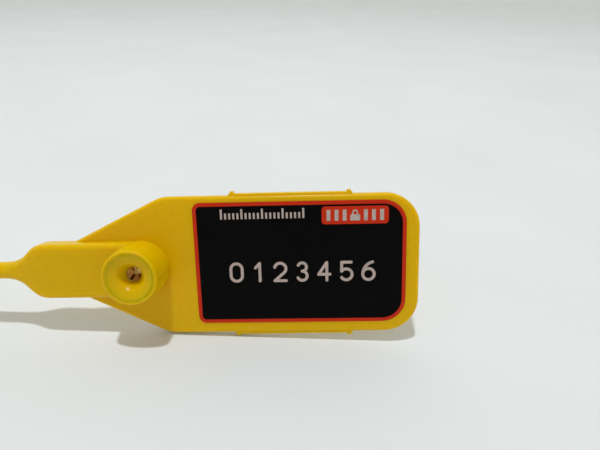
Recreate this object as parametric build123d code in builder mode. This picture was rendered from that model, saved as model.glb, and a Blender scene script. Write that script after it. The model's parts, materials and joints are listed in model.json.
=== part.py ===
"""Pull-tight security seal: a flag with a printed label, a locking chamber with a toothed clip, and a long tail.

Millimetres. The origin is the centre of the flag's flat back. +X runs along the seal away from its tail,
+Z is up the flag, and the front, with the label and the chamber's mouth, faces -Y.
"""

from build123d import *
import os
from math import asin, atan2, cos, degrees, radians, sin, sqrt

os.makedirs("parts", exist_ok=True)

# ---------------------------------------------------------------- driving dimensions
# Flag
FLAG_LENGTH = 44.8  # the stretch with parallel edges
FLAG_HEIGHT = 25.0
FLAG_THICKNESS = 1.8
FLAG_CORNER_R = 6.0
FLAG_SHOULDER_R = 6.0
FLAG_TAPER_LENGTH = 15.8
FLAG_EDGE_R = 0.6

# Neck between flag and tail
NECK_WIDTH = 9.8
NECK_DEPTH = 4.0
NECK_LENGTH = 4.7
NECK_EDGE_R = 0.9
NECK_SHOULDER_R = 4.2
NECK_ROOT_R = 6.0
NECK_RAMP_ANGLE = 41.0
NECK_STATIONS = 9
NECK_OVERLAP = 1.0  # how far the neck runs into the flag that it is moulded with

# Locking chamber
CHAMBER_FROM_SHOULDER = 4.1  # from the flag's shoulders to the chamber's axis
CHAMBER_HEIGHT = 8.0  # from the flag's back to the mouth's rim
CHAMBER_WALL = 0.7  # round the cap, at the rim
CHAMBER_DRAFT = 0.35  # how much wider the wall's foot is than its rim
CHAMBER_RIM_ROUND = 0.3
CHAMBER_FLOOR = 2.6  # the moulding's thickness behind the clip
EXIT_CLEARANCE = 0.15  # round the tail where it leaves at the back
EXIT_CHAMFER = 0.5

# Welded cap that guides the tail into the clip
CAP_R = 3.95
CAP_CLEARANCE = 0.02
CAP_SEAT = 0.55  # the width of the ledge that it is welded to
CAP_BELOW_RIM = 0.03
CAP_THICKNESS = 2.75
CAP_DISH_DEPTH = 0.7
CAP_HOLE_CLEARANCE = 0.12  # round the tail
CAP_FUNNEL_FLARE = 0.73
CAP_FUNNEL_DEPTH = 1.2
CAP_STEP_FLARE = 0.3
CAP_STEP_DEPTH = 0.35

# Toothed spring-steel clip
CLIP_CLEARANCE = 0.05
CLIP_THICKNESS = 0.3
CLIP_RIM = 0.85  # the flat rim round the cone
CLIP_CONE_DEPTH = 1.1
CLIP_BITE = 0.7  # how far the teeth reach inside the tail's surface
CLIP_TEETH = 3
CLIP_SLIT = 0.5
CLIP_FIRST_SLIT = 110.0

# Tail
SEAL_LENGTH = 275.0  # from the flag's free edge to the tail's point
TAIL_ROOT_STEP = 0.3  # how much larger in radius the tail's root is than the tail
TAIL_ROOT_LENGTH = 6.0
TAIL_ROOT_TAPER = 8.0
TAIL_R = 1.2
TAIL_ROOT_OVERLAP = 0.6  # how far the round tail runs into the neck
NECK_END_STEP = 0.03  # how far the neck's last section stands round the tail
NECK_END_FLAT = 0.08  # half the width of that section's flats: it is nearly round
TAIL_POINT_R = 0.55
TAIL_POINT_LENGTH = 7.0
CURL = 270.0  # how far the whole tail turns, from straight to its point in the mouth
KNUCKLE_COUNT = 12
KNUCKLE_CLEARANCE = 0.05
MOUTH_GAP = 1.0  # between the curled tail's point and the mouth's rim
GRIP_GROOVES = 11
GRIP_PITCH = 1.5
GRIP_WIDTH = 0.6
GRIP_DEPTH = 0.15

# Links to the next seals of the moulded mat, broken off
LAND_LENGTH = 21.3
LAND_HEIGHT = 0.35
LAND_THICKNESS = 1.2
LAND_FROM_EDGE = 11.6  # from the flag's free edge
NUB_WIDTH = 0.7
NUB_HEIGHT = 0.7
NUB_THICKNESS = 0.9
NUB_INSET = 0.6

# Label film and what is printed on it
LABEL_FROM_CHAMBER = 4.65
LABEL_FROM_EDGE = 2.35
LABEL_FROM_TOP = 1.1
LABEL_FROM_BOTTOM = 2.0
LABEL_OUTER_R = 4.1  # at the flag's free edge
LABEL_INNER_R = 1.35  # at the chamber
LABEL_FILM = 0.1
LABEL_BORDER = 0.67
INK_THICKNESS = 0.04
TAB_LENGTH = 11.45
TAB_HEIGHT = 3.1
TAB_R = 0.6
TAB_FROM_SIDE = 2.43  # from the black field's right side
TAB_FROM_TOP = 0.33  # from the black field's top
TAB_BAR_WIDTH = 0.66
TAB_BAR_HEIGHT = 1.9
TAB_BAR_PITCH = 1.38
TAB_BARS = 3  # on each side of the padlock
PADLOCK_WIDTH = 1.7
PADLOCK_HEIGHT = 1.05
PADLOCK_R = 0.15
SHACKLE_R = 0.5
SHACKLE_STROKE = 0.26
TICK_COUNT = 21
TICK_PITCH = 0.71
TICK_WIDTH = 0.34
TICK_HEIGHT = 1.75
TICK_SHORT = 1.05
TICKS_FROM_LEFT = 4.35
TICKS_FROM_TOP = 1.38  # from the black field's top to the ticks' middle
DIGIT_COUNT = 7
DIGIT_HEIGHT = 3.7
DIGIT_WIDTH = 2.5
DIGIT_STROKE = 0.5
DIGIT_PITCH = 3.86
DIGITS_RIGHT = 0.35  # from the label's middle to the middle digit's
DIGITS_DOWN = 1.55

# ---------------------------------------------------------------- places that follow from them
flag_right = FLAG_LENGTH / 2
shoulder_x = -FLAG_LENGTH / 2
flag_left = shoulder_x - FLAG_TAPER_LENGTH
neck_left = flag_left - NECK_LENGTH
chamber_x = shoulder_x - CHAMBER_FROM_SHOULDER
flag_front = -FLAG_THICKNESS
tail_y = -NECK_DEPTH / 2
land_middle = flag_right - LAND_FROM_EDGE - LAND_LENGTH / 2

# The chamber is as wide as its cap needs, and the openings are as wide as the tail needs
rim_y = -CHAMBER_HEIGHT
cap_top_y = rim_y + CAP_BELOW_RIM
cap_bottom_y = cap_top_y + CAP_THICKNESS
bore_r = CAP_R - CAP_SEAT
rim_r = CAP_R + CHAMBER_WALL
base_r = rim_r + CHAMBER_DRAFT
exit_r = TAIL_R + EXIT_CLEARANCE

# The neck's ogee: a shoulder arc, a straight ramp and a root arc that ends along the tail
ramp_angle = radians(NECK_RAMP_ANGLE)
tail_root_r = TAIL_R + TAIL_ROOT_STEP
neck_end_half = tail_root_r + NECK_END_STEP
ogee_drop = NECK_WIDTH / 2 - neck_end_half
arcs_drop = (NECK_SHOULDER_R + NECK_ROOT_R) * (1 - cos(ramp_angle))
arcs_run = (NECK_SHOULDER_R + NECK_ROOT_R) * sin(ramp_angle)
ramp_run = (ogee_drop - arcs_drop) * cos(ramp_angle) / sin(ramp_angle)
ogee_length = arcs_run + ramp_run
tail_root_x = neck_left - ogee_length
root_end_x = tail_root_x - TAIL_ROOT_LENGTH

# The tail's knuckles: fully curled, the tail has made three quarters of a turn and points into the mouth
bend_step = CURL / KNUCKLE_COUNT
curl_reach = -sum(cos(radians(k * bend_step)) for k in range(1, KNUCKLE_COUNT))
root_to_chamber = chamber_x - tail_root_x
point_to_axis = tail_y - rim_y + MOUTH_GAP
tail_length = SEAL_LENGTH - (flag_right - tail_root_x)
bends_in_tail = 2 * curl_reach + KNUCKLE_COUNT - 1
bend_pitch = (tail_length + root_to_chamber + point_to_axis) / bends_in_tail
tip_length = curl_reach * bend_pitch - point_to_axis
first_knuckle_x = chamber_x - curl_reach * bend_pitch
knuckles = [first_knuckle_x - k * bend_pitch for k in range(KNUCKLE_COUNT)]
cup_r = TAIL_R + KNUCKLE_CLEARANCE
cup_rim = sqrt(cup_r**2 - TAIL_R**2)  # from the knuckle's centre to its cup's rim
cup_angle = degrees(asin(TAIL_R / cup_r))  # between the tail's axis and its cup's rim

# The label's layers and edges
film_front = flag_front - LABEL_FILM
field_front = film_front - INK_THICKNESS
tab_front = field_front - INK_THICKNESS
label_left = chamber_x + base_r + LABEL_FROM_CHAMBER
label_right = flag_right - LABEL_FROM_EDGE
label_bottom = LABEL_FROM_BOTTOM - FLAG_HEIGHT / 2
label_top = FLAG_HEIGHT / 2 - LABEL_FROM_TOP
label_x = (label_left + label_right) / 2
label_z = (label_bottom + label_top) / 2
field_left = label_left + LABEL_BORDER
field_right = label_right - LABEL_BORDER
field_top = label_top - LABEL_BORDER
tab_x = field_right - TAB_FROM_SIDE - TAB_LENGTH / 2
tab_z = field_top - TAB_FROM_TOP - TAB_HEIGHT / 2

# Where sketches are drawn. A half profile's first coordinate is its radius, or its place along the tail.
across_chamber = Plane(origin=(chamber_x, 0, 0), x_dir=(1, 0, 0), z_dir=(0, 0, 1))
chamber_axis = Axis((chamber_x, 0, 0), (0, 1, 0))
along_tail = Plane(origin=(0, tail_y, 0), x_dir=(1, 0, 0), z_dir=(0, 0, 1))
tail_axis = Axis((0, tail_y, 0), (1, 0, 0))


def facing_front(y):
    """A plane at depth y, seen from the front as it is drawn, whose extrusions come forward."""
    return Plane.XZ.offset(-y)


def finish(part, name):
    """Labels a finished piece and writes its STEP."""
    part.label = name
    export_step(part, f"parts/{name}.step")


# ---------------------------------------------------------------- the moulding
def ogee_half_width(distance):
    """The neck's half width at a distance along the ogee, from where it leaves the straight neck."""
    shoulder_run = NECK_SHOULDER_R * sin(ramp_angle)
    if distance <= shoulder_run:
        return NECK_WIDTH / 2 - NECK_SHOULDER_R + sqrt(NECK_SHOULDER_R**2 - distance**2)
    if distance <= shoulder_run + ramp_run:
        shoulder_drop = NECK_SHOULDER_R * (1 - cos(ramp_angle))
        ramp_drop = (distance - shoulder_run) * sin(ramp_angle) / cos(ramp_angle)
        return NECK_WIDTH / 2 - shoulder_drop - ramp_drop
    to_root = ogee_length - distance
    return neck_end_half + NECK_ROOT_R - sqrt(NECK_ROOT_R**2 - to_root**2)


with BuildPart() as flag_plate:
    # The flag, with its shoulders drawn in to the neck
    with BuildSketch(facing_front(0)) as flag_outline:
        with BuildLine():
            Polyline(
                (flag_right, -FLAG_HEIGHT / 2),
                (flag_right, FLAG_HEIGHT / 2),
                (shoulder_x, FLAG_HEIGHT / 2),
                (flag_left, NECK_WIDTH / 2),
                (flag_left, -NECK_WIDTH / 2),
                (shoulder_x, -FLAG_HEIGHT / 2),
                close=True,
            )
        make_face()
        fillet(flag_outline.vertices().group_by(Axis.X)[-1], FLAG_CORNER_R)
        fillet(flag_outline.vertices().group_by(Axis.X)[1], FLAG_SHOULDER_R)
    extrude(amount=FLAG_THICKNESS)
    fillet(flag_plate.faces().filter_by(Axis.Y).edges(), FLAG_EDGE_R)

with BuildPart() as neck_pad:
    # The raised pad on the flag's front, from the neck to the chamber and round it
    with BuildSketch(facing_front(0)):
        with BuildLine():
            pad_top = Line((flag_left, NECK_WIDTH / 2), (chamber_x, NECK_WIDTH / 2))
            pad_end = RadiusArc(pad_top @ 1, (chamber_x, -NECK_WIDTH / 2), NECK_WIDTH / 2)
            pad_bottom = Line(pad_end @ 1, (flag_left, -NECK_WIDTH / 2))
            Line(pad_bottom @ 1, pad_top @ 0)
        make_face()
    extrude(amount=NECK_DEPTH)
    front_rim = neck_pad.faces().sort_by(Axis.Y)[0].edges()
    fillet(front_rim.sort_by(Axis.X)[1:], NECK_EDGE_R)

with BuildPart() as neck:
    # The straight neck, and the ogee that narrows it to the tail in width and in depth
    with BuildSketch(Plane.YZ.offset(flag_left + NECK_OVERLAP)):
        with Locations((tail_y, 0)):
            RectangleRounded(NECK_DEPTH, NECK_WIDTH, NECK_EDGE_R)
    extrude(amount=-(NECK_LENGTH + NECK_OVERLAP))
    for station in range(NECK_STATIONS):
        share = station / (NECK_STATIONS - 1)
        half_width = ogee_half_width(share * ogee_length)
        narrowed = (NECK_WIDTH / 2 - half_width) / ogee_drop
        half_depth = NECK_DEPTH / 2 - narrowed * (NECK_DEPTH / 2 - neck_end_half)
        edge_r = NECK_EDGE_R + narrowed * (neck_end_half - NECK_END_FLAT - NECK_EDGE_R)
        with BuildSketch(Plane.YZ.offset(neck_left - share * ogee_length)):
            with Locations((tail_y, 0)):
                RectangleRounded(2 * half_depth, 2 * half_width, edge_r)
    loft()

with BuildPart() as flag_body:
    add(flag_plate.part)
    add(neck_pad.part)
    add(neck.part)

    # Links broken off the top and bottom edges
    with BuildSketch(facing_front((LAND_THICKNESS - FLAG_THICKNESS) / 2)):
        with Locations((land_middle, 0)):
            with GridLocations(1, FLAG_HEIGHT, 1, 2):
                Rectangle(LAND_LENGTH, 2 * LAND_HEIGHT)
    extrude(amount=LAND_THICKNESS)
    with BuildSketch(facing_front((NUB_THICKNESS - FLAG_THICKNESS) / 2)):
        with Locations((land_middle, 0)):
            with GridLocations(LAND_LENGTH - 2 * NUB_INSET, FLAG_HEIGHT, 2, 2):
                Rectangle(NUB_WIDTH, 2 * NUB_HEIGHT)
    extrude(amount=NUB_THICKNESS)

    # The chamber's wall, then its seat for the cap, its bore and the tail's way out
    with BuildSketch(across_chamber):
        with BuildLine():
            Polyline(
                (0, flag_front),
                (base_r, flag_front),
                (base_r, -NECK_DEPTH),
                (rim_r, rim_y),
                (0, rim_y),
                close=True,
            )
        make_face()
    revolve(axis=chamber_axis)
    with BuildSketch(across_chamber):
        with BuildLine():
            Polyline(
                (0, rim_y),
                (CAP_R, rim_y),
                (CAP_R, cap_bottom_y),
                (bore_r, cap_bottom_y),
                (bore_r, -CHAMBER_FLOOR),
                (exit_r, -CHAMBER_FLOOR),
                (exit_r, -EXIT_CHAMFER),
                (exit_r + EXIT_CHAMFER, 0),
                (0, 0),
                close=True,
            )
        make_face()
    revolve(axis=chamber_axis, mode=Mode.SUBTRACT)
    rim_edges = flag_body.edges().filter_by(GeomType.CIRCLE).group_by(Axis.Y)[0]
    fillet(rim_edges, CHAMBER_RIM_ROUND)

    # The tail's round root, which tapers to the tail and ends in the first knuckle's cup
    with BuildSketch(along_tail):
        with BuildLine():
            root = Polyline(
                (tail_root_x + TAIL_ROOT_OVERLAP, 0),
                (tail_root_x + TAIL_ROOT_OVERLAP, tail_root_r),
                (root_end_x, tail_root_r),
                (root_end_x - TAIL_ROOT_TAPER, TAIL_R),
                (first_knuckle_x + cup_rim, TAIL_R),
            )
            cup = CenterArc((first_knuckle_x, 0), cup_r, cup_angle, -cup_angle)
            Line(cup @ 1, root @ 0)
        make_face()
    revolve(axis=tail_axis)
finish(flag_body.part, "flag_body")


# ---------------------------------------------------------------- the chamber's cap and clip
with BuildPart() as chamber_cap:
    # A dished ring, welded in over the clip, whose funnel guides the tail into its hole
    dish_y = cap_top_y + CAP_DISH_DEPTH
    step_y = dish_y + CAP_STEP_DEPTH
    funnel_y = step_y + CAP_FUNNEL_DEPTH
    hole_r = TAIL_R + CAP_HOLE_CLEARANCE
    funnel_r = hole_r + CAP_FUNNEL_FLARE
    with BuildSketch(across_chamber):
        with BuildLine():
            Polyline(
                (CAP_R - CAP_CLEARANCE, cap_bottom_y),
                (CAP_R - CAP_CLEARANCE, cap_top_y),
                (funnel_r + CAP_STEP_FLARE, dish_y),
                (funnel_r, step_y),
                (hole_r, funnel_y),
                (hole_r, cap_bottom_y),
                close=True,
            )
        make_face()
    revolve(axis=chamber_axis)
finish(chamber_cap.part, "chamber_cap")

with BuildPart() as locking_clip:
    # A skirt down to the chamber's floor, a flat rim under the cap and a cone that slits cut into teeth
    clip_r = bore_r - CLIP_CLEARANCE
    cone_r = clip_r - CLIP_RIM
    gap_r = TAIL_R - CLIP_BITE
    clip_y = cap_bottom_y + CLIP_CLEARANCE
    teeth_y = clip_y + CLIP_CONE_DEPTH
    skirt_y = -CHAMBER_FLOOR - CLIP_CLEARANCE
    with BuildSketch(across_chamber):
        with BuildLine():
            Polyline(
                (clip_r, clip_y),
                (clip_r, skirt_y),
                (clip_r - CLIP_THICKNESS, skirt_y),
                (clip_r - CLIP_THICKNESS, clip_y + CLIP_THICKNESS),
                (cone_r, clip_y + CLIP_THICKNESS),
                (gap_r, teeth_y + CLIP_THICKNESS),
                (gap_r, teeth_y),
                (cone_r, clip_y),
                close=True,
            )
        make_face()
    revolve(axis=chamber_axis)
    with BuildSketch(facing_front(teeth_y + CLIP_THICKNESS)):
        with Locations((chamber_x, 0)):
            with PolarLocations(0, CLIP_TEETH, start_angle=CLIP_FIRST_SLIT):
                Rectangle(cone_r, CLIP_SLIT, align=(Align.MIN, Align.CENTER))
    extrude(amount=CLIP_CONE_DEPTH + CLIP_THICKNESS, mode=Mode.SUBTRACT)
finish(locking_clip.part, "locking_clip")


# ---------------------------------------------------------------- the tail's knuckles and its point
def knuckle_piece(start_x):
    """A stretch of tail with a ball at start_x and a cup for the next ball, one bend_pitch on."""
    end_x = start_x - bend_pitch
    with BuildPart() as piece:
        with BuildSketch(along_tail):
            with BuildLine():
                ball = CenterArc((start_x, 0), TAIL_R, 0, 90)
                side = Line(ball @ 1, (end_x + cup_rim, TAIL_R))
                cup = CenterArc((end_x, 0), cup_r, cup_angle, -cup_angle)
                Line(cup @ 1, ball @ 0)
            make_face()
        revolve(axis=tail_axis)
    return piece.part


for number, knuckle_x in enumerate(knuckles[:-1], start=1):
    finish(knuckle_piece(knuckle_x), f"tail_{number:02d}")

with BuildPart() as tail_tip:
    # The last stretch, ringed with grooves for fingers, and tapered to a rounded point
    ball_x = knuckles[-1]
    point_x = ball_x - tip_length
    with BuildSketch(along_tail):
        with BuildLine():
            ball = CenterArc((ball_x, 0), TAIL_R, 0, 90)
            side = Polyline(
                ball @ 1,
                (point_x + TAIL_POINT_LENGTH, TAIL_R),
                (point_x + TAIL_POINT_R, TAIL_POINT_R),
            )
            point = CenterArc((point_x + TAIL_POINT_R, 0), TAIL_POINT_R, 90, 90)
            Line(point @ 1, ball @ 0)
        make_face()
    revolve(axis=tail_axis)
    with BuildSketch(along_tail):
        for groove in range(GRIP_GROOVES):
            groove_x = point_x + TAIL_POINT_LENGTH + (groove + 1) * GRIP_PITCH
            with Locations((groove_x, TAIL_R)):
                Rectangle(GRIP_WIDTH, 2 * GRIP_DEPTH)
    revolve(axis=tail_axis, mode=Mode.SUBTRACT)
finish(tail_tip.part, "tail_tip")


# ---------------------------------------------------------------- the label
def label_sheet(back_y, thickness, inset):
    """A layer of the label, its outline drawn in by an inset, with its larger corners at the free edge."""
    with BuildPart() as layer:
        with BuildSketch(facing_front(back_y)) as outline:
            with Locations((label_x, label_z)):
                Rectangle(label_right - label_left - 2 * inset, label_top - label_bottom - 2 * inset)
            fillet(outline.vertices().group_by(Axis.X)[-1], LABEL_OUTER_R - inset)
            fillet(outline.vertices().group_by(Axis.X)[0], LABEL_INNER_R - inset)
        extrude(amount=thickness)
    return layer.part


finish(label_sheet(flag_front, LABEL_FILM, 0), "label_film")
finish(label_sheet(film_front, INK_THICKNESS, LABEL_BORDER), "label_field")

with BuildPart() as label_tab:
    # A coloured tab in the field's top corner
    with BuildSketch(facing_front(field_front)):
        with Locations((tab_x, tab_z)):
            RectangleRounded(TAB_LENGTH, TAB_HEIGHT, TAB_R)
    extrude(amount=INK_THICKNESS)
finish(label_tab.part, "label_tab")

with BuildPart() as tab_marks:
    # A padlock between upright bars
    with BuildSketch(facing_front(tab_front)):
        bars_middle = (TAB_BARS + 1) / 2 * TAB_BAR_PITCH + PADLOCK_WIDTH / 4
        for side in (-1, 1):
            with Locations((tab_x + side * bars_middle, tab_z)):
                with GridLocations(TAB_BAR_PITCH, 1, TAB_BARS, 1):
                    Rectangle(TAB_BAR_WIDTH, TAB_BAR_HEIGHT)
        lock_z = tab_z - TAB_BAR_HEIGHT / 2 + PADLOCK_HEIGHT / 2
        shackle_z = tab_z + TAB_BAR_HEIGHT / 2 - SHACKLE_R
        with Locations((tab_x, shackle_z)):
            Circle(SHACKLE_R)
        with Locations((tab_x, (lock_z + shackle_z) / 2)):
            Rectangle(2 * SHACKLE_R, shackle_z - lock_z)
        with Locations((tab_x, shackle_z)):
            Circle(SHACKLE_R - SHACKLE_STROKE, mode=Mode.SUBTRACT)
        with Locations((tab_x, (lock_z + shackle_z) / 2)):
            Rectangle(2 * (SHACKLE_R - SHACKLE_STROKE), shackle_z - lock_z, mode=Mode.SUBTRACT)
        with Locations((tab_x, lock_z)):
            RectangleRounded(PADLOCK_WIDTH, PADLOCK_HEIGHT, PADLOCK_R)
    extrude(amount=INK_THICKNESS)
finish(tab_marks.part, "tab_marks")

with BuildPart() as header_ticks:
    # A scale of ticks, every fifth one of full height
    with BuildSketch(facing_front(field_front)):
        for tick in range(TICK_COUNT):
            height = TICK_SHORT if tick % 5 else TICK_HEIGHT
            tick_x = field_left + TICKS_FROM_LEFT + tick * TICK_PITCH
            tick_z = field_top - TICKS_FROM_TOP - (TICK_HEIGHT - height) / 2
            with Locations((tick_x, tick_z)):
                Rectangle(TICK_WIDTH, height)
    extrude(amount=INK_THICKNESS)
finish(header_ticks.part, "header_ticks")


def digit_lines(digit):
    """The centre lines of one of the digits 0 to 6, about their middle."""
    half_width = (DIGIT_WIDTH - DIGIT_STROKE) / 2
    half_height = (DIGIT_HEIGHT - DIGIT_STROKE) / 2
    bowl_z = half_height - half_width  # from the middle to a full-width bowl's centre
    with BuildLine() as lines:
        if digit == 0:
            CenterArc((0, bowl_z), half_width, 0, 180)
            CenterArc((0, -bowl_z), half_width, 180, 180)
            Line((half_width, bowl_z), (half_width, -bowl_z))
            Line((-half_width, bowl_z), (-half_width, -bowl_z))
        elif digit == 1:
            stem_x = half_width / 4
            Line((stem_x, -half_height), (stem_x, half_height))
            Line((stem_x, half_height), (-half_width / 2, half_height / 2))
        elif digit == 2:
            hook = CenterArc((0, bowl_z), half_width, 165, -205)
            Polyline(hook @ 1, (-half_width, -half_height), (half_width, -half_height))
        elif digit == 3:
            upper_r = 0.47 * half_height
            lower_r = half_height - upper_r
            CenterArc((0, half_height - upper_r), upper_r, 155, -245)
            CenterArc((0, lower_r - half_height), lower_r, 90, -245)
        elif digit == 4:
            stem_x = 0.45 * half_width
            bar_z = -half_height / 3
            Polyline((half_width, bar_z), (-half_width, bar_z), (stem_x, half_height), (stem_x, -half_height))
        elif digit == 5:
            bowl = CenterArc((0, -bowl_z), half_width, 145, -290)
            left_x = -0.8 * half_width
            Polyline(bowl @ 0, (left_x, half_height), (0.85 * half_width, half_height))
        else:
            CenterArc((0, -bowl_z), half_width, 0, 360)
            TangentArc((-half_width, -bowl_z), (0.7 * half_width, half_height), tangent=(0, 1))
    return lines


def stroke(line, width):
    """A round-ended stroke of that width along a straight line or an arc, or a ring along a full circle."""
    if line.is_closed:
        with Locations(line.arc_center):
            Circle(line.radius + width / 2)
            Circle(line.radius - width / 2, mode=Mode.SUBTRACT)
    elif line.geom_type == GeomType.LINE:
        along = line % 0.5
        with Locations(line @ 0.5):
            SlotCenterToCenter(line.length, width, rotation=degrees(atan2(along.Y, along.X)))
    else:
        SlotArc(line, width)


with BuildPart() as serial_digits:
    # A running number
    first_x = label_x + DIGITS_RIGHT - (DIGIT_COUNT - 1) / 2 * DIGIT_PITCH
    first_digit = Location((first_x, label_z - DIGITS_DOWN, 0))
    for digit in range(DIGIT_COUNT):
        lines = digit_lines(digit)
        step = Location((digit * DIGIT_PITCH, 0, 0))
        with BuildSketch(facing_front(field_front) * first_digit * step):
            for line in lines.edges():
                stroke(line, DIGIT_STROKE)
        extrude(amount=INK_THICKNESS)
finish(serial_digits.part, "serial_digits")
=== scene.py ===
"""A pull-tight security seal: its looks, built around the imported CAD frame."""
import json
import math

import bmesh
import bpy
from mathutils import Matrix, Vector

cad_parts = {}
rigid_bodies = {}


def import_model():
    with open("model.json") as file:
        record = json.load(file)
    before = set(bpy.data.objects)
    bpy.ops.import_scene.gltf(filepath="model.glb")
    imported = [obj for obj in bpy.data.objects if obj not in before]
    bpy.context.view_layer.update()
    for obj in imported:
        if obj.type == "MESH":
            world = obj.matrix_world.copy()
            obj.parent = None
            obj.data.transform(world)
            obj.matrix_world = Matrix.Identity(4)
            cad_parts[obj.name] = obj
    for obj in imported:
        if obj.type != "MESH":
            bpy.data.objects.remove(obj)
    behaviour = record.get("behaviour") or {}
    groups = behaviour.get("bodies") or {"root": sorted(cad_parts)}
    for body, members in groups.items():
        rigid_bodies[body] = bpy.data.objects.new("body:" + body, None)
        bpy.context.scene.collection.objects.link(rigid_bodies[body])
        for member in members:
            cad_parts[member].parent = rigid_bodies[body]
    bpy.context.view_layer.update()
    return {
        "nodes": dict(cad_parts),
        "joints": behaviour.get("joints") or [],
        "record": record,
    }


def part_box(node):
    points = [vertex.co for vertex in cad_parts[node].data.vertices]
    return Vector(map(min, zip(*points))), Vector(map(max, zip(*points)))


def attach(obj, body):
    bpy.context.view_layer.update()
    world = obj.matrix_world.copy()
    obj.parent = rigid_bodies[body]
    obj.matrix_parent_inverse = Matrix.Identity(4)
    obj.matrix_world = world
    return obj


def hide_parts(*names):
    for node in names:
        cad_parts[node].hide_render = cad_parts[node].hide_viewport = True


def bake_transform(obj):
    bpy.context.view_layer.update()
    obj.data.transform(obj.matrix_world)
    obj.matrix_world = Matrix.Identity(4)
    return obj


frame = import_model()

MM = 0.001

# ---------------------------------------------------------------- places taken from the frame
body_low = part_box("flag_body")[0]
tip_low, tip_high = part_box("tail_tip")
cap_low, cap_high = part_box("chamber_cap")
joints = sorted(frame["joints"], key=lambda joint: joint["name"])
hinges = [Vector(joint["pos_m"]) for joint in joints]
bend_pitch = (hinges[0] - hinges[1]).length
tail_r = (tip_high.z - tip_low.z) / 2
slots = {row["node"]: row["material_slot"] for row in frame["record"]["subparts"]}

# ---------------------------------------------------------------- sizes of what is made here
SKIN_PROUD = 0.02 * MM  # how far the tail's skin stands proud of the CAD tail
SKIN_START = 1.6 * MM  # from the first hinge to where the skin starts, on the CAD body
SKIN_SIDES = 48
SKIN_STEP = 0.55 * MM
SKIN_LAP = 0.25 * MM  # how far a skin piece runs on inside the next one
SKIN_DRAWN_IN = 0.9  # the radius of that stretch, as a share of the skin's own
PARTING_LINE = 0.03 * MM  # the ridge that the mould leaves above and below
POINT_R = 0.55 * MM
POINT_LENGTH = 7.0 * MM
GROOVE_COUNT = 11
GROOVE_PITCH = 1.5 * MM
GROOVE_WIDTH = 0.6 * MM
GROOVE_DEPTH = 0.15 * MM
WELD_R = 0.12 * MM
WELD_SUNK = 0.07 * MM  # how far its middle lies behind the cap's front
WELD_SIDES = 96
WELD_RING = 12
FLOOR_TOUCH = Vector((-10.2, -0.45, 0)) * MM  # where the nub under the flag rests
FLAG_LEAN = math.radians(17.2)  # the flag leans back on the floor
FLOOR_R = 0.9
SWEEP_R = 0.6
SWEEP_TOP = 1.6
SWEEP_SIDES = 96
SWEEP_TURN = 6  # degrees from one ring of the sweep's curve to the next
SWEEP_GLOW = 0.48  # behind the seal
FRONT_GLOW = 0.02


# ---------------------------------------------------------------- materials
class Look:
    """A material with its Principled shader, and short ways to add the nodes that feed it."""

    def __init__(self, name, colour, roughness):
        self.material = bpy.data.materials.new(name)
        self.material.use_nodes = True
        self.nodes = self.material.node_tree.nodes
        self.links = self.material.node_tree.links
        self.shader = self.nodes["Principled BSDF"]
        self.set("Base Color", (*colour, 1))
        self.set("Roughness", roughness)
        self.place = self.nodes.new("ShaderNodeTexCoord").outputs["Object"]

    def set(self, socket, value):
        self.shader.inputs[socket].default_value = value

    def feed(self, socket, output):
        self.links.new(output, self.shader.inputs[socket])

    def noise(self, feature, detail=2.0, stretch=(1, 1, 1)):
        """Noise with features about that large, in metres, and longer along an axis by its stretch."""
        squeeze = self.nodes.new("ShaderNodeMapping")
        squeeze.inputs["Scale"].default_value = [1 / value for value in stretch]
        texture = self.nodes.new("ShaderNodeTexNoise")
        texture.inputs["Scale"].default_value = 1 / feature
        texture.inputs["Detail"].default_value = detail
        self.links.new(self.place, squeeze.inputs["Vector"])
        self.links.new(squeeze.outputs["Vector"], texture.inputs["Vector"])
        return texture.outputs["Fac"]

    def ramp(self, output, low, high):
        """The output's values between low and high, spread over 0 to 1."""
        spread = self.nodes.new("ShaderNodeMapRange")
        spread.inputs["From Min"].default_value = low
        spread.inputs["From Max"].default_value = high
        self.links.new(output, spread.inputs["Value"])
        return spread.outputs["Result"]

    def between(self, output, low, high):
        """0 to 1 turned into low to high."""
        spread = self.nodes.new("ShaderNodeMapRange")
        spread.inputs["To Min"].default_value = low
        spread.inputs["To Max"].default_value = high
        self.links.new(output, spread.inputs["Value"])
        return spread.outputs["Result"]

    def mix(self, factor, first, second):
        """Two colours, each a triple or an output, mixed by a factor."""
        blend = self.nodes.new("ShaderNodeMix")
        blend.data_type = "RGBA"
        self.links.new(factor, blend.inputs["Factor"])
        for socket, colour in ((blend.inputs[6], first), (blend.inputs[7], second)):
            if isinstance(colour, tuple):
                socket.default_value = (*colour, 1)
            else:
                self.links.new(colour, socket)
        return blend.outputs[2]

    def times(self, first, second):
        product = self.nodes.new("ShaderNodeMath")
        product.operation = "MULTIPLY"
        for socket, value in zip(product.inputs, (first, second)):
            if isinstance(value, float):
                socket.default_value = value
            else:
                self.links.new(value, socket)
        return product.outputs["Value"]

    def bump(self, *layers):
        """Layers of (output, height in metres), one on another."""
        below = None
        for output, height in layers:
            node = self.nodes.new("ShaderNodeBump")
            node.inputs["Distance"].default_value = height
            self.links.new(output, node.inputs["Height"])
            if below:
                self.links.new(below, node.inputs["Normal"])
            below = node.outputs["Normal"]
        self.feed("Normal", below)


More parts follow.
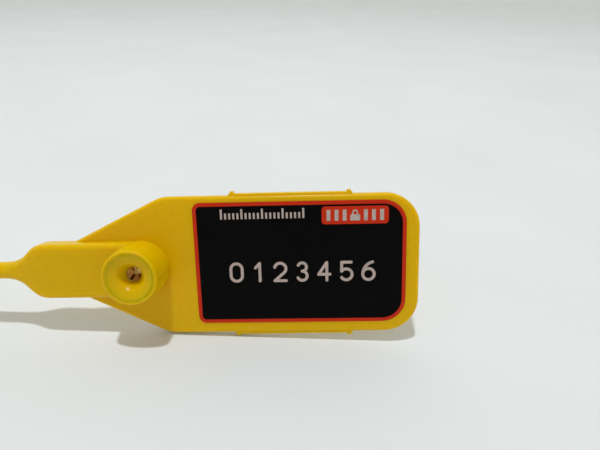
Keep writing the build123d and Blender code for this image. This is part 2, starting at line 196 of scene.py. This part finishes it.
def seal_plastic():
    """Yellow polypropylene: it lets light through, and its colour and shine are not quite even."""
    look = Look("seal_plastic", (0.80, 0.495, 0.0), 0.34)
    flow = look.noise(9 * MM, 2.0, stretch=(2.5, 1, 1))
    speckle = look.noise(0.9 * MM, 4.0)
    scuffs = look.ramp(look.noise(0.35 * MM, 5.0, stretch=(9, 1, 1)), 0.6, 0.72)
    base = look.mix(look.ramp(flow, 0.3, 0.7), (0.78, 0.48, 0.0), (0.82, 0.51, 0.0))
    look.feed("Base Color", look.mix(look.ramp(speckle, 0.5, 0.8), base, (0.75, 0.46, 0.0)))
    look.feed("Roughness", look.between(scuffs, 0.26, 0.4))
    look.set("Subsurface Weight", 0.7)
    look.set("Subsurface Radius", (1.0, 0.55, 0.02))
    look.set("Subsurface Scale", 1.6 * MM)
    look.set("Specular IOR Level", 0.14)
    look.bump((flow, 0.02 * MM), (look.noise(0.12 * MM, 2.0), 0.003 * MM), (scuffs, 0.002 * MM))
    return look.material


def clip_steel():
    """Stamped spring steel, brushed, with a warm tint."""
    look = Look("clip_steel", (0.42, 0.19, 0.04), 0.25)
    brushed = look.noise(0.08 * MM, 3.0, stretch=(1, 12, 1))
    look.feed("Base Color", look.mix(brushed, (0.30, 0.12, 0.02), (0.55, 0.26, 0.06)))
    look.feed("Roughness", look.between(brushed, 0.16, 0.3))
    look.set("Metallic", 1.0)
    look.bump((brushed, 0.002 * MM))
    return look.material


def label_red():
    """Red film: smooth, with faint ripples where it was laid on the plastic."""
    look = Look("label_red", (0.40, 0.02, 0.01), 0.35)
    ripples = look.noise(3 * MM, 2.0)
    grain = look.noise(0.2 * MM, 3.0)
    look.feed("Base Color", look.mix(grain, (0.56, 0.022, 0.003), (0.68, 0.032, 0.004)))
    look.feed("Roughness", look.between(grain, 0.3, 0.42))
    look.set("Specular IOR Level", 0.15)
    look.bump((ripples, 0.01 * MM), (grain, 0.001 * MM))
    return look.material


def label_black():
    """Black print: deep, with a fine screen grain, a few specks of dust and faint ripples."""
    look = Look("label_black", (0.004, 0.003, 0.003), 0.4)
    ripples = look.noise(4 * MM, 2.0)
    grain = look.noise(0.15 * MM, 3.0)
    dust = look.ramp(look.noise(0.45 * MM, 1.0), 0.80, 0.84)
    ground = look.mix(grain, (0.0006, 0.0004, 0.0004), (0.002, 0.0015, 0.0015))
    look.feed("Base Color", look.mix(dust, ground, (0.05, 0.048, 0.045)))
    look.feed("Roughness", look.between(grain, 0.36, 0.5))
    look.set("Specular IOR Level", 0.06)
    look.bump((ripples, 0.008 * MM), (grain, 0.001 * MM))
    return look.material


def label_print():
    """Pale ink, laid thinly, so the ground shows through a little."""
    look = Look("label_print", (0.50, 0.42, 0.38), 0.6)
    cover = look.noise(0.14 * MM, 3.0)
    patches = look.noise(1.6 * MM, 2.0)
    thin = look.mix(look.ramp(cover, 0.3, 0.55), (0.36, 0.28, 0.25), (0.62, 0.49, 0.43))
    look.feed("Base Color", look.mix(look.ramp(patches, 0.4, 0.8), thin, (0.45, 0.35, 0.31)))
    look.feed("Roughness", look.between(cover, 0.5, 0.75))
    look.set("Specular IOR Level", 0.3)
    look.bump((cover, 0.002 * MM))
    return look.material


makers = (seal_plastic, clip_steel, label_red, label_black, label_print)
looks = {make.__name__: make() for make in makers}
for name, node in frame["nodes"].items():
    node.data.materials.clear()
    node.data.materials.append(looks[slots[name]])


def add_object(name, mesh, material):
    """An object made from a finished bmesh, with one material, in the scene."""
    data = bpy.data.meshes.new(name)
    mesh.to_mesh(data)
    mesh.free()
    data.materials.append(material)
    piece = bpy.data.objects.new(name, data)
    bpy.context.scene.collection.objects.link(piece)
    return piece


# ---------------------------------------------------------------- the tail's skin
def tip_radius(x):
    """The tail's radius at x on its last piece: grip grooves, then the tapered, rounded point."""
    from_point = x - tip_low.x
    if from_point < POINT_R:
        return math.sqrt(max(0.0, POINT_R**2 - (POINT_R - from_point) ** 2))
    if from_point < POINT_LENGTH:
        share = (from_point - POINT_R) / (POINT_LENGTH - POINT_R)
        return POINT_R + share * (tail_r - POINT_R)
    number = round((from_point - POINT_LENGTH) / GROOVE_PITCH)
    off_middle = abs(from_point - POINT_LENGTH - number * GROOVE_PITCH)
    if 1 <= number <= GROOVE_COUNT and off_middle < GROOVE_WIDTH / 2:
        return tail_r - GROOVE_DEPTH * math.cos(math.pi * off_middle / GROOVE_WIDTH)
    return tail_r


def add_ring(mesh, x, radius, ridge=PARTING_LINE):
    """A ring of vertices round the tail's axis, with the parting line's ridge above and below."""
    ring = []
    for side in range(SKIN_SIDES):
        turn = 2 * math.pi * side / SKIN_SIDES
        reach = radius + ridge * (side % (SKIN_SIDES // 2) == SKIN_SIDES // 4)
        y = hinges[0].y + reach * math.cos(turn)
        z = hinges[0].z + reach * math.sin(turn)
        ring.append(mesh.verts.new((x, y, z)))
    return ring


def tube(name, stations):
    """A closed skin through (x, radius) stations, from right to left, crisp at its seams."""
    mesh = bmesh.new()
    first_x, first_r = stations[0]
    last_x, last_r = stations[-1]
    rings = [add_ring(mesh, first_x + SKIN_LAP, first_r * SKIN_DRAWN_IN, 0)]
    rings += [add_ring(mesh, x, radius) for x, radius in stations]
    if last_r > POINT_R:
        rings.append(add_ring(mesh, last_x - SKIN_LAP, last_r * SKIN_DRAWN_IN, 0))
    for right, left in zip(rings, rings[1:]):
        for side in range(SKIN_SIDES):
            after = (side + 1) % SKIN_SIDES
            mesh.faces.new((right[side], right[after], left[after], left[side]))
    mesh.faces.new(reversed(rings[0]))
    mesh.faces.new(rings[-1])
    bmesh.ops.recalc_face_normals(mesh, faces=mesh.faces)
    seams = {*rings[1]} | ({*rings[-2]} if last_r > POINT_R else set())
    for edge in mesh.edges:
        edge.smooth = not (edge.verts[0] in seams and edge.verts[1] in seams)
    for face in mesh.faces:
        face.smooth = len(face.verts) == 4
    return add_object(name, mesh, looks["seal_plastic"])


def spaced(start, end, step):
    """Places from start to end, both among them, evenly spaced by about a step."""
    count = max(1, round(abs(end - start) / step))
    return [start + (end - start) * share / count for share in range(count + 1)]


def make_tail():
    """The tail as one moulding: over each hinge, a skin piece spans the two bodies there, left
    unattached to either body.
    """
    seams = [hinges[0].x + SKIN_START] + [hinge.x - bend_pitch / 2 for hinge in hinges]
    for number, joint in enumerate(joints):
        start, end = seams[number], seams[number + 1]
        stations = [(x, tail_r + SKIN_PROUD) for x in spaced(start, end, SKIN_STEP)]
        piece = tube(f"tail_skin_{number + 1:02d}", stations)
        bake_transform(piece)
        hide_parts("tail_tip" if number == len(joints) - 1 else f"tail_{number + 1:02d}")
    point_x = tip_low.x
    grip_end = point_x + POINT_LENGTH + (GROOVE_COUNT + 1) * GROOVE_PITCH
    places = spaced(seams[-1], grip_end, SKIN_STEP)[:-1]
    places += spaced(grip_end, point_x + POINT_LENGTH, GROOVE_WIDTH / 8)[:-1]
    places += spaced(point_x + POINT_LENGTH, point_x + POINT_R, SKIN_STEP)[:-1]
    places += [point_x + POINT_R * (1 - math.cos(math.radians(turn))) for turn in range(90, 0, -10)]
    stations = [(x, tip_radius(x) + SKIN_PROUD * (x > point_x + POINT_R)) for x in places]
    point = tube("tail_point", stations)
    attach(point, joints[-1]["child"])


make_tail()


# ---------------------------------------------------------------- the cap's weld
def make_weld():
    """The low bead that the weld leaves round the cap, flush with the chamber's rim."""
    middle = (cap_low + cap_high) / 2
    cap_r = (cap_high.x - cap_low.x) / 2
    mesh = bmesh.new()
    rings = []
    for turn in range(WELD_SIDES):
        around = 2 * math.pi * turn / WELD_SIDES
        ring = []
        for side in range(WELD_RING):
            lean = 2 * math.pi * side / WELD_RING
            reach = cap_r + WELD_R * math.cos(lean)
            depth = cap_low.y + WELD_SUNK + WELD_R * math.sin(lean)
            x = middle.x + reach * math.cos(around)
            z = middle.z + reach * math.sin(around)
            ring.append(mesh.verts.new((x, depth, z)))
        rings.append(ring)
    for number, ring in enumerate(rings):
        following = rings[(number + 1) % WELD_SIDES]
        for side in range(WELD_RING):
            after = (side + 1) % WELD_RING
            mesh.faces.new((ring[side], following[side], following[after], ring[after]))
    bmesh.ops.recalc_face_normals(mesh, faces=mesh.faces)
    for face in mesh.faces:
        face.smooth = True
    weld = add_object("cap_weld", mesh, looks["seal_plastic"])
    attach(weld, joints[0]["parent"])


make_weld()


# ---------------------------------------------------------------- camera, floor and light
def make_camera():
    """A camera close in front, a little above and to the right, as a hand-held phone."""
    aim = Vector((1.72, -0.9, 7.05)) * MM
    distance = 81.97 * MM
    turn, pitch, roll = 1.982, 11.47, -1.427
    data = bpy.data.cameras.new("camera")
    data.lens = 28.2
    data.sensor_width = 36.0
    data.clip_start = 0.005
    data.clip_end = 20.0
    camera = bpy.data.objects.new("camera", data)
    heading = Matrix.Rotation(math.radians(turn), 4, "Z")
    tilt = Matrix.Rotation(math.radians(90 - pitch), 4, "X")
    spin = Matrix.Rotation(math.radians(roll), 4, "Z")
    turned = heading @ tilt @ spin
    camera.matrix_world = Matrix.Translation(aim + turned.to_3x3() @ Vector((0, 0, distance))) @ turned
    bpy.context.scene.collection.objects.link(camera)
    bpy.context.scene.camera = camera


def backdrop_paper():
    """Pale matt paper. Where it curves up, it glows a little, so the sweep is as bright as the floor."""
    look = Look("backdrop_paper", (0.80, 0.82, 0.815), 0.85)
    fibres = look.noise(1.2 * MM, 4.0)
    mottle = look.noise(60 * MM, 2.0)
    shade = look.mix(look.ramp(mottle, 0.3, 0.7), (0.80, 0.812, 0.80), (0.83, 0.838, 0.832))
    look.feed("Base Color", shade)
    look.set("Specular IOR Level", 0.1)
    look.bump((fibres, 0.01 * MM))
    along = look.nodes.new("ShaderNodeSeparateXYZ")
    look.links.new(look.place, along.inputs["Vector"])
    climb = look.ramp(along.outputs["Z"], 0, SWEEP_R)
    behind = look.between(look.ramp(along.outputs["Y"], -FLOOR_R, FLOOR_R), FRONT_GLOW, SWEEP_GLOW)
    look.feed("Emission Strength", look.times(climb, behind))
    look.set("Emission Color", (0.93, 0.965, 1.0, 1))
    return look.material


def make_backdrop():
    """A floor that curves up all round. The seal rests on it with a nub under its flag and its point."""
    touch = FLOOR_TOUCH + Vector((0, 0, body_low.z))
    point = Vector((tip_low.x, 0, hinges[0].z - POINT_R - hinges[0].y * math.tan(FLAG_LEAN)))
    slope = math.atan2(point.z - touch.z, touch.x - point.x)
    stand = Matrix.Rotation(slope, 4, "Y") @ Matrix.Rotation(FLAG_LEAN, 4, "X")
    profile = [(FLOOR_R / 2, 0), (FLOOR_R, 0)]
    for turn in range(SWEEP_TURN, 91, SWEEP_TURN):
        rise = math.radians(turn)
        profile.append((FLOOR_R + SWEEP_R * math.sin(rise), SWEEP_R * (1 - math.cos(rise))))
    profile.append((FLOOR_R + SWEEP_R, SWEEP_TOP))
    mesh = bmesh.new()
    middle = mesh.verts.new((0, 0, 0))
    rings = []
    for reach, height in profile:
        ring = []
        for side in range(SWEEP_SIDES):
            turn = 2 * math.pi * side / SWEEP_SIDES
            ring.append(mesh.verts.new((reach * math.cos(turn), reach * math.sin(turn), height)))
        rings.append(ring)
    for side in range(SWEEP_SIDES):
        after = (side + 1) % SWEEP_SIDES
        mesh.faces.new((middle, rings[0][side], rings[0][after]))
        for inner, outer in zip(rings, rings[1:]):
            mesh.faces.new((inner[side], outer[side], outer[after], inner[after]))
    for face in mesh.faces:
        face.smooth = True
    backdrop = add_object("backdrop", mesh, backdrop_paper())
    backdrop.matrix_world = Matrix.Translation(touch) @ stand


def make_light(name, place, size, power, tint):
    """A round studio lamp that faces the seal."""
    data = bpy.data.lights.new(name, "AREA")
    data.shape = "DISK"
    data.size = size
    data.energy = power
    data.color = tint
    lamp = bpy.data.objects.new(name, data)
    facing = Vector(place).to_track_quat("Z", "Y").to_matrix().to_4x4()
    lamp.matrix_world = Matrix.Translation(place) @ facing
    bpy.context.scene.collection.objects.link(lamp)


def make_world():
    """Pale, slightly warm light from all round, which fills the shadows."""
    world = bpy.data.worlds.new("world")
    world.use_nodes = True
    background = world.node_tree.nodes["Background"]
    background.inputs["Color"].default_value = (1.0, 0.976, 0.855, 1)
    background.inputs["Strength"].default_value = 0.41
    bpy.context.scene.world = world


make_camera()
make_backdrop()
make_light("overhead", place=(-0.002, -0.28, 0.85), size=0.05, power=3.9, tint=(0.862, 0.915, 1.0))
make_world()
bpy.context.scene.view_settings.view_transform = "Standard"
